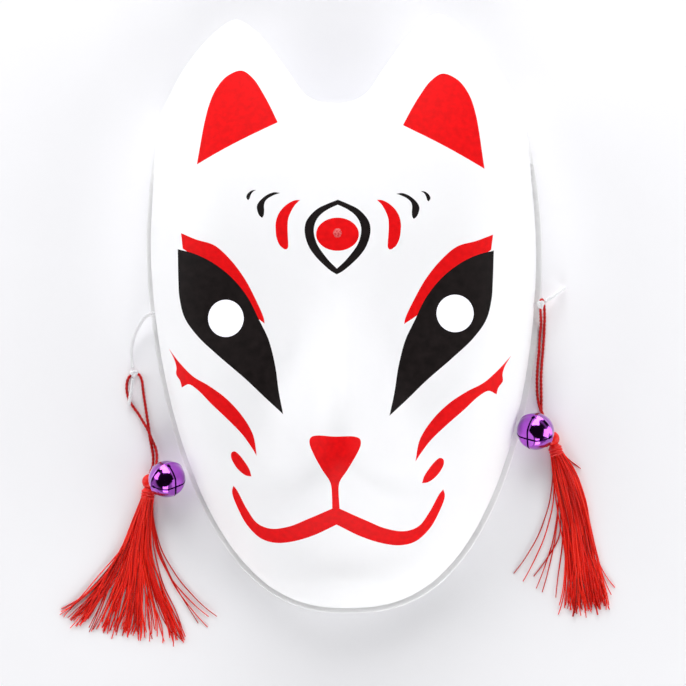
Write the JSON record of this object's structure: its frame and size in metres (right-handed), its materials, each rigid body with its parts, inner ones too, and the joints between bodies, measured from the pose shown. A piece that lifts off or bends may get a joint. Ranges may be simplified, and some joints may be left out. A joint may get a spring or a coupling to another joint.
{
  "type": "kitsune mask",
  "caption": "Full-face white moulded fox mask with pointed ears, printed red and black markings, an elastic strap, and a red tassel with a purple jingle bell at each side.",
  "frame": {"origin": "centre of the mask on the plane of its rim, which lies on the table", "axes": "+X to the right of someone who looks at the face, +Y along the face towards the ears, +Z out of the face, away from the table"},
  "size_m": [0.2361, 0.2629, 0.076],
  "materials": {
    "white_plastic": "satin white moulded plastic, printed in red and black",
    "white_elastic": "braided white elastic cord",
    "red_cord": "thin twisted red cord",
    "purple_metal": "bright purple plated metal",
    "red_silk": "glossy red silky strands"
  },
  "bodies": {
    "root": {"mask_shell": "white_plastic", "elastic_strap": "white_elastic", "elastic_tail_left": "white_elastic", "elastic_tail_right": "white_elastic", "elastic_knot_left": "white_elastic", "elastic_knot_right": "white_elastic", "tassel_loop_left": "red_cord", "tassel_loop_right": "red_cord", "bell_left": "purple_metal", "bell_right": "purple_metal", "tassel_head_left": "red_silk", "tassel_head_right": "red_silk", "tassel_skirt_left": "red_silk", "tassel_skirt_right": "red_silk"}
  },
  "joints": []
}
